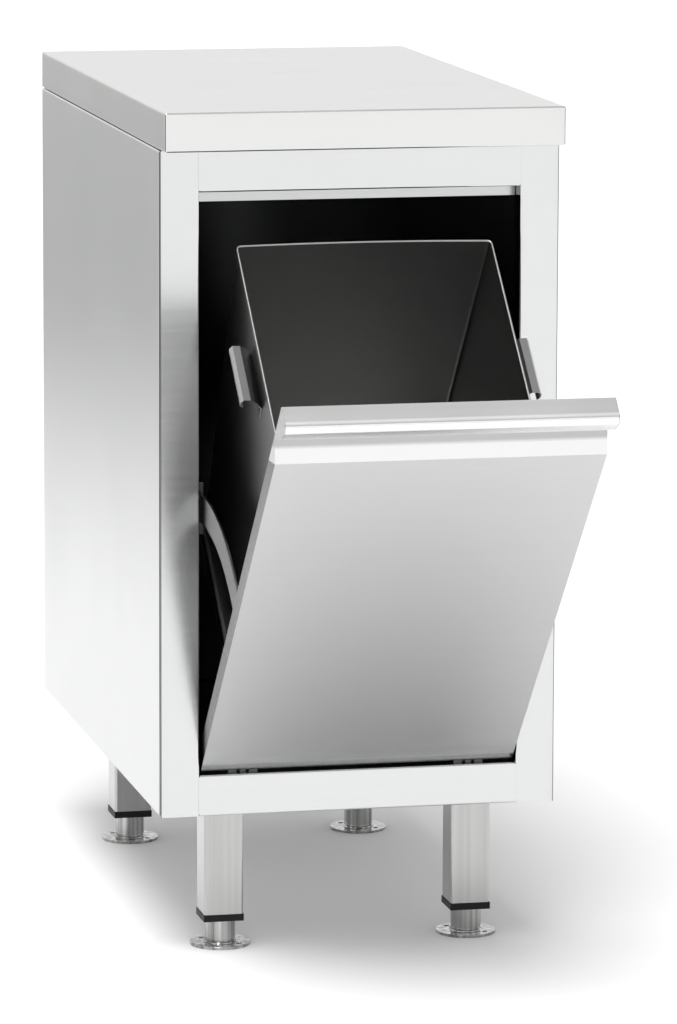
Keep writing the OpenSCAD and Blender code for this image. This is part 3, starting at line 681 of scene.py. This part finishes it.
def open_seams(ring, steps, depth):
    """Press the middle of each round corner in, where the two folded edges meet."""
    for corner in range(4):
        arc = ring[corner * (steps + 1):(corner + 1) * (steps + 1)]
        inward = ((arc[0] + arc[-1]) / 2 - arc[steps // 2]).normalized()
        arc[steps // 2] += inward * depth


def worktop_sheet(bm):
    """From the middle of the top out over the fold, down, in at the bottom, and back inside."""
    z1, z2 = top_low.z, top_high.z
    inside = TOP_SHEET + TOP_FOLD_INSIDE
    path = [(TOP_MIDDLE, z2)]
    path += bend(TOP_FOLD, z2 - TOP_FOLD, TOP_FOLD, 90, 180)
    path += bend(TOP_FOLD, z1 + TOP_FOLD, TOP_FOLD, 180, 270)
    path += [(TOP_RETURN, z1), (TOP_RETURN, z1 + TOP_SHEET)]
    path += bend(inside, z1 + inside, TOP_FOLD_INSIDE, 270, 180)
    path += bend(inside, z2 - inside, TOP_FOLD_INSIDE, 180, 90)
    path += [(TOP_MIDDLE, z2 - TOP_SHEET)]
    rings = []
    for d, z in path:
        ring = rounded_ring(top_low.x + d, top_high.x - d, top_low.y + d, top_high.y - d,
                            max(TOP_CORNER - d, SHARP), z, TOP_CORNER_STEPS)
        if d == 0 and z < z2 - SHARP:
            open_seams(ring, TOP_CORNER_STEPS, TOP_SEAM)
        rings.append(ring)
    loft(bm, rings)


worktop = new_piece("worktop_sheet", worktop_sheet, "cabinet", "worktop_steel", ("worktop",))
print("worktop", [round(v, 4) for v in worktop.dimensions])

# %% Sealant in the worktop's corners
SEALANT_SUNK = 0.1


def corner_sealant(bm):
    """A thin line of dark sealant that fills each open corner seam, a little below the surface."""
    rings = []
    for z in (top_low.z + TOP_FOLD, top_high.z - TOP_FOLD - SHARP):
        ring = rounded_ring(top_low.x, top_high.x, top_low.y, top_high.y,
                            TOP_CORNER, z, TOP_CORNER_STEPS)
        open_seams(ring, TOP_CORNER_STEPS, TOP_SEAM)
        rings.append(ring)
    middle = TOP_CORNER_STEPS // 2
    for corner in range(4):
        at = corner * (TOP_CORNER_STEPS + 1) + middle
        loft(bm, [[ring[k].lerp(ring[at], SEALANT_SUNK) for k in (at - 1, at, at + 1)]
                  for ring in rings])


seals = new_piece("corner_sealant", corner_sealant, "cabinet", "black_plastic")
print("corner sealant", [round(v, 4) for v in seals.dimensions])

# %% [markdown]
# The front frame and the side panels are 1.2 mm sheet with press-brake folds. The outside of a fold
# has a radius a little over the sheet's thickness and the inside a much smaller one. At the seams
# two such rounds face each other and leave a small dark groove, which is what draws the fine lines
# between the parts in the picture. Between each side panel and the frame a black strip lies a hair
# below the surface: it is painted shade, standing for the shade of a narrow gap there, and shows as
# the dark upright line. A modifier can't round a fold wider than half the sheet, so these sheets
# are built from their section.

# %% Folded sheet
SHEET, FOLD, DEBURR = 0.0012, 0.0017, 0.0003
FOLD_TURNS = (0, 22.5, 45, 67.5, 90)


def sheet_faces(path):
    """Both faces of a sheet with square folds. path is its outer face, the sheet on its right."""
    corners = [Vector(point) for point in path]
    runs = [(b - a).normalized() for a, b in zip(corners, corners[1:])]
    sides = [Vector((run.y, -run.x)) for run in runs]
    outer = [corners[0] + sides[0] * DEBURR, corners[0] + runs[0] * DEBURR]
    inner = [corners[0] + sides[0] * (SHEET - DEBURR),
             corners[0] + sides[0] * SHEET + runs[0] * DEBURR]
    for corner, before, after in zip(corners[1:-1], sides, sides[1:]):
        centre = corner + (before + after) * FOLD
        for turn in FOLD_TURNS:
            out = before * math.cos(math.radians(turn)) + after * math.sin(math.radians(turn))
            outer.append(centre - out * FOLD)
            inner.append(centre - out * (FOLD - SHEET))
    outer += [corners[-1] - runs[-1] * DEBURR, corners[-1] + sides[-1] * DEBURR]
    inner += [corners[-1] + sides[-1] * SHEET - runs[-1] * DEBURR,
              corners[-1] + sides[-1] * (SHEET - DEBURR)]
    return outer, inner


def folded_sheet(bm, path, place, start, end):
    """Draw the section out from start to end. place turns (across, up, along) into a point."""
    rows = [[[bm.verts.new(place(p.x, p.y, s)) for p in face] for face in sheet_faces(path)]
            for s in (start, end)]
    (outer_1, inner_1), (outer_2, inner_2) = rows
    pairs = ((outer_1, outer_2), (inner_1, inner_2), (outer_1, inner_1), (outer_2, inner_2))
    for one, other in pairs:
        for k in range(len(one) - 1):
            bm.faces.new((one[k], one[k + 1], other[k + 1], other[k]))
    for k in (0, -1):
        bm.faces.new((outer_1[k], inner_1[k], inner_2[k], outer_2[k]))


# %% Stiles
STILE_LEAF = 0.024
for side, sign in (("left", 1), ("right", -1)):
    low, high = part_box(f"stile_{side}")
    edge, opening = (low.x, high.x) if sign > 0 else (high.x, low.x)
    corners = ((opening - sign * STILE_LEAF, high.y), (opening, high.y),
               (opening, low.y), (edge, low.y))
    section = [(sign * x, y) for x, y in corners]

    def stile(bm):
        folded_sheet(bm, section, lambda u, v, s: Vector((sign * u, v, s)), low.z, high.z)

    new_piece(f"stile_sheet_{side}", stile, "cabinet", "frame_steel", (f"stile_{side}",))
    print("stile", side, "from", round(edge, 4), "to", round(opening, 4))

# %% Rails
RAIL_FLANGE, RAIL_BACK_LEAF = 0.020, 0.033
for node in ("top_rail", "bottom_rail"):
    low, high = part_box(node)
    if node == "top_rail":
        section = [(high.y, low.z + RAIL_BACK_LEAF), (high.y, low.z), (low.y, low.z),
                   (low.y, high.z), (low.y + RAIL_FLANGE, high.z)]
    else:
        section = [(high.y, low.z), (low.y, low.z), (low.y, high.z), (high.y, high.z)]

    def rail(bm):
        folded_sheet(bm, section, lambda u, v, s: Vector((s, u, v)), low.x, high.x)

    finish = "rail_steel" if node == "bottom_rail" else "frame_steel"
    new_piece(f"{node}_sheet", rail, "cabinet", "frame_steel", (node,), finish)
    print(node, "from", round(low.z, 4), "to", round(high.z, 4))

# %% [markdown]
# Each rail meets the stiles in a butt weld that is ground almost flush. The fold of the stile
# would leave a dark groove there, and the real frame shows only a faint line. A smooth front
# with a line drawn on it would lose that line in other light, so the weld is a thin strip of
# its own that fills the groove and stays a hair below the surface.

# %% Dressed seams of the front frame
SEAM_WIDTH, SEAM_SUNK, SEAM_DEEP = 0.0011, 0.00006, 0.0008


def frame_seams(bm):
    """The weld that fills the groove between a rail's end and the stile's fold."""
    for rail in ("top_rail", "bottom_rail"):
        low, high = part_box(rail)
        front = low.y + SEAM_SUNK
        back = front + SEAM_DEEP
        for end, outward in ((low.x, -1), (high.x, 1)):
            near, far = sorted((end, end + outward * SEAM_WIDTH))
            corners = ((near, front), (far, front), (far, back), (near, back))
            loft(bm, [[Vector((x, y, z)) for x, y in corners]
                      for z in (low.z + FOLD, high.z - FOLD)])


seams = new_piece("frame_seam_welds", frame_seams, "cabinet", "frame_steel")
print("frame seams", [round(v, 4) for v in seams.dimensions])

# %% [markdown]
# A side panel is a shallow tray: its top flange carries the worktop, its bottom flange the
# floor, and the front and rear ones stiffen it. Four separate flanges would need four more
# seams, so the whole tray is one loft, whose rings run round the panel and step inwards at the
# flange tips.

# %% Side panels
SIDE_MIDDLE, SIDE_CORNER = 0.03, 0.0022
FRONT_FLANGE, BACK_FLANGE, BOTTOM_FLANGE, TOP_FLANGE = 0.015, 0.015, 0.020, 0.030
GAP_SHADE_WIDTH, GAP_SHADE_SUNK, GAP_SHADE_DEEP = 0.0055, 0.0002, 0.0060
SIDE_CORNER_STEPS = 3
# one depth for each point of a ring with SIDE_CORNER_STEPS to a corner
FLANGE_TIPS = ([BOTTOM_FLANGE] * 2 + [BACK_FLANGE] * 4 + [TOP_FLANGE] * 4 + [FRONT_FLANGE] * 4
               + [BOTTOM_FLANGE] * 2)


def side_sheet(bm, outside, inward, low, high):
    """A tray with four flanges. Each ring lies at one depth, except the two at the flange tips."""
    inside = FOLD - SHEET
    path = [(SIDE_MIDDLE, 0)] + [(d, FOLD - up) for d, up in bend(FOLD, 0, FOLD, 90, 180)]
    path += [(0, None), (SHEET, None)]
    path += [(d, SHEET + inside - up) for d, up in bend(SHEET + inside, 0, inside, 180, 90)]
    path += [(SIDE_MIDDLE, SHEET)]
    rings = []
    for d, depth in path:
        ring = rounded_ring(low.y + d, high.y - d, low.z + d, high.z - d,
                            max(SIDE_CORNER - d, SHARP), 0, SIDE_CORNER_STEPS)
        depths = FLANGE_TIPS if depth is None else [depth] * len(ring)
        rings.append([Vector((outside + inward * deep, p.x, p.y)) for p, deep in zip(ring, depths)])
    loft(bm, rings)


for side, inward in (("left", 1), ("right", -1)):
    low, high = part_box(f"side_panel_{side}")
    outside = low.x if inward > 0 else high.x
    start = low + Vector((0, GAP_SHADE_WIDTH, 0))
    new_piece(f"side_sheet_{side}", lambda bm: side_sheet(bm, outside, inward, start, high),
              "cabinet", "panel_steel", (f"side_panel_{side}",))
    # painted shade: a black strip a hair below the surface stands for the shade of the gap between
    # the side panel and the frame
    sunk = outside + inward * GAP_SHADE_SUNK
    deep = sunk + inward * GAP_SHADE_DEEP
    strip = ((sunk, low.y), (deep, low.y), (deep, start.y + FOLD), (sunk, start.y + GAP_SHADE_SUNK))

    def gap_shade_strip(bm):
        loft(bm, [[Vector((x, y, z)) for x, y in strip] for z in (low.z + FOLD, high.z - FOLD)])

    new_piece(f"side_gap_shade_{side}", gap_shade_strip, "cabinet", "black_plastic")
    print("side panel", side, "from", round(start.y, 4), "to", round(high.y, 4))

# %% [markdown]
# Where the floor of the cabinet meets its back panel, a bead of sealant keeps spilled liquid
# in. It is smoothed with a finger, so its face is a little hollow. A round rod in the corner
# would be simpler, but it would bulge the wrong way.

# %% Sealant inside the body
SEALANT_LEG, SEALANT_HOLLOW = 0.0022, 0.35


def floor_sealant(bm):
    """A bead along the corner of the base and the back panel."""
    base_low, base_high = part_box("base_panel")
    back_low, back_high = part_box("back_panel")
    hollow = SEALANT_HOLLOW * SEALANT_LEG
    corner = ((back_low.y, base_high.z), (back_low.y - SEALANT_LEG, base_high.z),
              (back_low.y - hollow, base_high.z + hollow), (back_low.y, base_high.z + SEALANT_LEG))
    loft(bm, [[Vector((x, y, z)) for y, z in corner] for x in (back_low.x, back_high.x)])


floor_bead = new_piece("floor_sealant", floor_sealant, "cabinet", "black_plastic")
print("floor sealant", [round(v, 4) for v in floor_bead.dimensions])

# %% [markdown]
# The legs are drawn square tube. Its corners are round, about twice the wall, and each corner
# mirrors a thin bright line. The top of every tube is welded to its plate all round. A weld is
# a row of small overlapping puddles, so the bead swells and narrows as it runs.

# %% Weld bead
BEAD_RIPPLE, BEAD_POINTS, BEAD_SINK = 0.14, 4, 4
BEAD_TURNS = (0, 25, 50, 70, 90)


def bead(bm, outline, size, level, up):
    """A weld round an upright wall on a level face. outline(reach) is the wall's outline."""
    near, far, sunk = outline(0), outline(size), outline(-size / BEAD_SINK)
    swells = [1 + BEAD_RIPPLE * math.sin(2 * math.pi * k / BEAD_POINTS) for k in range(len(near))]
    rings = []
    for angle in BEAD_TURNS:
        out, rise = math.cos(math.radians(angle)), up * size * math.sin(math.radians(angle))
        rings.append([Vector((n.x + (f.x - n.x) * out * w, n.y + (f.y - n.y) * out * w,
                              level + rise * w)) for n, f, w in zip(near, far, swells)])
    rings.append([Vector((p.x, p.y, level)) for p in sunk])
    loft(bm, rings, close=True)


# %% Legs and their welds
TUBE_WALL, TUBE_CORNER, TUBE_CORNER_STEPS = 0.0015, 0.0028, 4
LEG_BEAD, BEAD_SIDE_STEPS = 0.0025, 24
CORNERS = [f"{end}_{side}" for end in ("front", "rear") for side in ("left", "right")]
for corner in CORNERS:
    low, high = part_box(f"leg_tube_{corner}")

    def tube(bm):
        path = ((SHARP, low.z), (0, low.z + SHARP), (0, high.z),
                (TUBE_WALL, high.z), (TUBE_WALL, low.z))
        loft(bm, [rounded_ring(low.x + d, high.x - d, low.y + d, high.y - d, TUBE_CORNER - d, z)
                  for d, z in path], close=True)

    def tube_outline(reach):
        return rounded_ring(low.x - reach, high.x + reach, low.y - reach, high.y + reach,
                            TUBE_CORNER + reach, high.z, TUBE_CORNER_STEPS, BEAD_SIDE_STEPS)

    new_piece(f"leg_{corner}", tube, "cabinet", "leg_steel", (f"leg_tube_{corner}",))
    new_piece(f"leg_weld_{corner}", lambda bm: bead(bm, tube_outline, LEG_BEAD, high.z, -1),
              "cabinet", "leg_steel")
print("legs", len(CORNERS))


# %% Lathe
def outline_reach(turn, sides):
    """How far a polygon of corner radius 1 reaches at an angle. 0 sides is a circle."""
    if not sides:
        return 1.0
    half = math.pi / sides
    return math.cos(half) / math.cos(turn % (2 * half) - half)


def lathe(bm, profile, place, steps=24):
    """Turn (radius, height, sides) rows about the Z axis of place."""
    turns = [2 * math.pi * k / steps for k in range(steps)]
    rings = []
    for radius, height, sides in profile:
        reaches = [radius * outline_reach(t, sides) for t in turns]
        rings.append([place @ Vector((reach * math.cos(t), reach * math.sin(t), height))
                      for reach, t in zip(reaches, turns)])
    loft(bm, rings)


# %% [markdown]
# A foot is a drilled disc with a tube welded on, and an M10 spindle that screws up into the
# leg's cap. At rest only a hair of the spindle shows, but a foot screwed out bares its thread.
# A thread is a ridge that climbs one pitch per turn, so each point's radius depends on its
# height and its angle together, and a few rings per turn are enough to draw it.

# %% Thread
THREAD_PITCH, THREAD_DEPTH = 0.0015, 0.0009
RINGS_PER_TURN, THREAD_STEPS = 5, 20


def thread(bm, centre, z1, z2, radius):
    """A threaded rod that tapers over its last turn at both ends."""
    rings = []
    count = round((z2 - z1) / THREAD_PITCH * RINGS_PER_TURN)
    for ring in range(count + 1):
        z = z1 + (z2 - z1) * ring / count
        taper = min(1.0, (z - z1) / THREAD_PITCH, (z2 - z) / THREAD_PITCH)
        row = []
        for step in range(THREAD_STEPS):
            phase = (z / THREAD_PITCH - step / THREAD_STEPS) % 1
            depth = THREAD_DEPTH * (1 - taper * (1 - abs(2 * phase - 1)))
            turn = 2 * math.pi * step / THREAD_STEPS
            row.append(Vector((centre.x + (radius - depth) * math.cos(turn),
                               centre.y + (radius - depth) * math.sin(turn), z)))
        rings.append(row)
    loft(bm, rings)


# %% Feet and spindles
COLLAR_HEIGHT, COLLAR_RADIUS, CHAMFER = 0.004, 0.009, 0.0006
DISC_HEIGHT, FOOT_TUBE_RADIUS, FOOT_BEAD, FOOT_BEAD_STEPS = 0.003, 0.01525, 0.0016, 64
SPINDLE_RADIUS = 0.005
for corner in CORNERS:
    low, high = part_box(f"spindle_{corner}")
    centre = (low + high) / 2

    def spindle(bm):
        thread(bm, centre, low.z, high.z, SPINDLE_RADIUS)
        r, h = COLLAR_RADIUS, COLLAR_HEIGHT
        lathe(bm, ((r - CHAMFER, 0, 0), (r, CHAMFER, 0), (r, h - CHAMFER, 0), (r - CHAMFER, h, 0)),
              Matrix.Translation((centre.x, centre.y, low.z)))

    def foot_outline(reach):
        radius = FOOT_TUBE_RADIUS + reach
        turns = [2 * math.pi * k / FOOT_BEAD_STEPS for k in range(FOOT_BEAD_STEPS)]
        return [Vector((centre.x + radius * math.cos(t), centre.y + radius * math.sin(t), 0))
                for t in turns]

    new_piece(f"threaded_spindle_{corner}", spindle, f"foot_{corner}", "zinc_steel",
              (f"spindle_{corner}",))
    new_piece(f"foot_weld_{corner}", lambda bm: bead(bm, foot_outline, FOOT_BEAD, DISC_HEIGHT, 1),
              f"foot_{corner}", "foot_steel")
print("feet", len(CORNERS))

# %% [markdown]
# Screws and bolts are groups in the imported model. Their heads are buttons with a six-sided
# drive recess, and pins and studs have domed ends. Copies of one screw would need its place
# typed in many times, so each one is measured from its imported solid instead, along its own
# axis, and turned on the lathe to that length and width.


# %% Measure turned parts
def loose_solids(node):
    """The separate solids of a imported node, each as a list of points."""
    bm = bmesh.new()
    bm.from_mesh(NODES[node].data)
    bmesh.ops.remove_doubles(bm, verts=bm.verts, dist=SAME_POINT)
    solids, seen = [], set()
    for start in bm.verts:
        if start.index in seen:
            continue
        seen.add(start.index)
        group = [start]
        for vertex in group:
            for edge in vertex.link_edges:
                other = edge.other_vert(vertex)
                if other.index not in seen:
                    seen.add(other.index)
                    group.append(other)
        solids.append([vertex.co.copy() for vertex in group])
    bm.free()
    return solids


def along_axis(points, axis):
    """A turned solid's place with Z along its axis, its length, and its (radius, height) points."""
    turn = axis.to_track_quat("Z", "Y").to_matrix()
    local = [turn.transposed() @ p for p in points]
    low = Vector([min(p[k] for p in local) for k in range(3)])
    high = Vector([max(p[k] for p in local) for k in range(3)])
    middle = (low + high) / 2
    place = Matrix.Translation(turn @ Vector((middle.x, middle.y, low.z))) @ turn.to_4x4()
    sizes = [(math.hypot(p.x - middle.x, p.y - middle.y), p.z - low.z) for p in local]
    return place, high.z - low.z, sizes


# %% Screws and bolts
HEAD_EDGE, TIP_PART = 0.98, 0.1
# part of the head's radius, part of its height, and the sides of the ring there
BUTTON = ((1, 0, 0), (1, 0.5, 0), (0.93, 0.78, 0), (0.78, 0.95, 0), (0.62, 1, 0))
RECESS = ((0.54, 1, 6), (0.50, 0.45, 6))


def screw_profile(length, sizes):
    """Section of a screw from its tip to its drive recess. Heights start at the tip."""
    head = max(r for r, h in sizes)
    seat = min(h for r, h in sizes if r > HEAD_EDGE * head)
    shank = max(r for r, h in sizes if h < TIP_PART * seat)
    top = [(part * head, seat + up * (length - seat), sides) for part, up, sides in BUTTON + RECESS]
    return [(shank - CHAMFER, 0, 0), (shank, CHAMFER, 0), (shank, seat, 0)] + top


DOOR_OPEN = math.radians(44.1)
UP, BACK = Vector((0, 0, 1)), Vector((0, 1, 0))
DOOR_BACK = Vector((0, math.cos(DOOR_OPEN), math.sin(DOOR_OPEN)))
SCREW_GROUPS = (("leg_bolts", "cabinet", UP), ("bearer_screws", "cabinet", -UP),
                ("guide_screws", "cabinet", BACK), ("shelf_screws", "door", DOOR_BACK))
for node, body, axis in SCREW_GROUPS:
    def screws(bm):
        for points in loose_solids(node):
            place, length, sizes = along_axis(points, axis)
            lathe(bm, screw_profile(length, sizes), place)

    new_piece(f"{node}_with_recess", screws, body, "zinc_steel", (node,))
    print(node, len(loose_solids(node)))


# %% Hinge pins and stay studs
NEAR, HEAD_THICK, ACROSS = 0.0005, 0.002, Vector((1, 0, 0))
# part of the end's radius, and how far that ring lies below the end
DOME = ((0.45, 0), (0.80, 0.0003), (0.96, 0.0008), (1, 0.0014))
PINS = (("hinge_pin_left", "cabinet"), ("hinge_pin_right", "cabinet"), ("stay_studs", "door"))


def pin_profile(length, sizes):
    """A pin with a domed head or end on both sides, and its shank between them."""
    first = max(r for r, h in sizes if h < NEAR)
    last = max(r for r, h in sizes if h > length - NEAR)
    shank = min(r for r, h in sizes)
    left = [(part * first, down, 0) for part, down in DOME]
    right = [(part * last, length - down, 0) for part, down in DOME]
    if first > shank + NEAR:
        left += [(first, HEAD_THICK, 0), (shank, HEAD_THICK, 0)]
        right += [(last, length - HEAD_THICK, 0), (shank, length - HEAD_THICK, 0)]
    return left + right[::-1]


for node, body in PINS:
    def pins(bm):
        for points in loose_solids(node):
            place, length, sizes = along_axis(points, ACROSS)
            lathe(bm, pin_profile(length, sizes), place)

    new_piece(f"{node}_domed", pins, body, "zinc_steel", (node,))
    print(node, len(loose_solids(node)))

# %% [markdown]
# The bin is thin sheet. Its upright corners are folded round, and its rim is rolled over to the
# outside, so a hand meets a tube instead of a cut edge. That round rim is the thin white line
# round the bin in the picture. The long rear wall also bows out a little at the top, as thin
# sheet does, so the rim there isn't quite straight. The bin leans with the door, so its rings
# are drawn upright and level first, and then turned and moved to its place on the shelf.

# %% Section of the bin
BIN_TILT, BIN_FOOT = math.radians(40.6), (0, -0.3103755, 0.2257706)
BIN_PLACE = Matrix.Translation(BIN_FOOT) @ Matrix.Rotation(BIN_TILT, 4, "X")
BIN_HEIGHT, BIN_SHEET = 0.384, 0.001
BIN_WIDTHS, BIN_DEPTHS = (0.2274, 0.2542), (0.280, 0.3272)
BIN_CORNER, BIN_CORNER_STEPS, BIN_SIDE_STEPS, BIN_BOW = 0.004, 5, 10, 0.002


def bin_ring(grow, h):
    """One ring of the wall at height h, grown outwards. The rear side bows out towards the rim."""
    part = h / BIN_HEIGHT
    half_w = (BIN_WIDTHS[0] + (BIN_WIDTHS[1] - BIN_WIDTHS[0]) * part) / 2 + grow
    half_d = (BIN_DEPTHS[0] + (BIN_DEPTHS[1] - BIN_DEPTHS[0]) * part) / 2 + grow
    middle = BIN_DEPTHS[0] / 2
    ring = rounded_ring(-half_w, half_w, middle - half_d, middle + half_d,
                        BIN_CORNER + grow, h, BIN_CORNER_STEPS, BIN_SIDE_STEPS)
    for point in ring:
        if point.y > middle + half_d - BIN_CORNER:
            point.y += BIN_BOW * part * part * max(0.0, 1 - (point.x / (half_w - BIN_CORNER)) ** 2)
    return [BIN_PLACE @ point for point in ring]


# %% Bin
HEM_OUT, HEM_HEIGHT, HEM_EDGE = 0.0014, 0.012, 0.0004
RIM_RADIUS, RIM_STEPS = (HEM_OUT + BIN_SHEET) / 2, 6
WALL_HEIGHTS = (0, 0.13, 0.26)


def bin_walls(bm):
    """Up the outside, round the rolled rim and down the inside again."""
    hem_low, rim = BIN_HEIGHT - HEM_HEIGHT, BIN_HEIGHT - RIM_RADIUS
    path = [(0, h) for h in WALL_HEIGHTS]
    path += [(0, hem_low), (HEM_OUT - HEM_EDGE, hem_low), (HEM_OUT, hem_low + HEM_EDGE)]
    path += bend(HEM_OUT - RIM_RADIUS, rim, RIM_RADIUS, 0, 180, RIM_STEPS)
    path += [(-BIN_SHEET, hem_low)] + [(-BIN_SHEET, h) for h in reversed(WALL_HEIGHTS)]
    loft(bm, [bin_ring(grow, h) for grow, h in path], close=True)


bin_piece = new_piece("bin_walls", bin_walls, "bin", "bin_steel", ("bin_shell",))
print("bin", [round(v, 4) for v in bin_piece.dimensions])
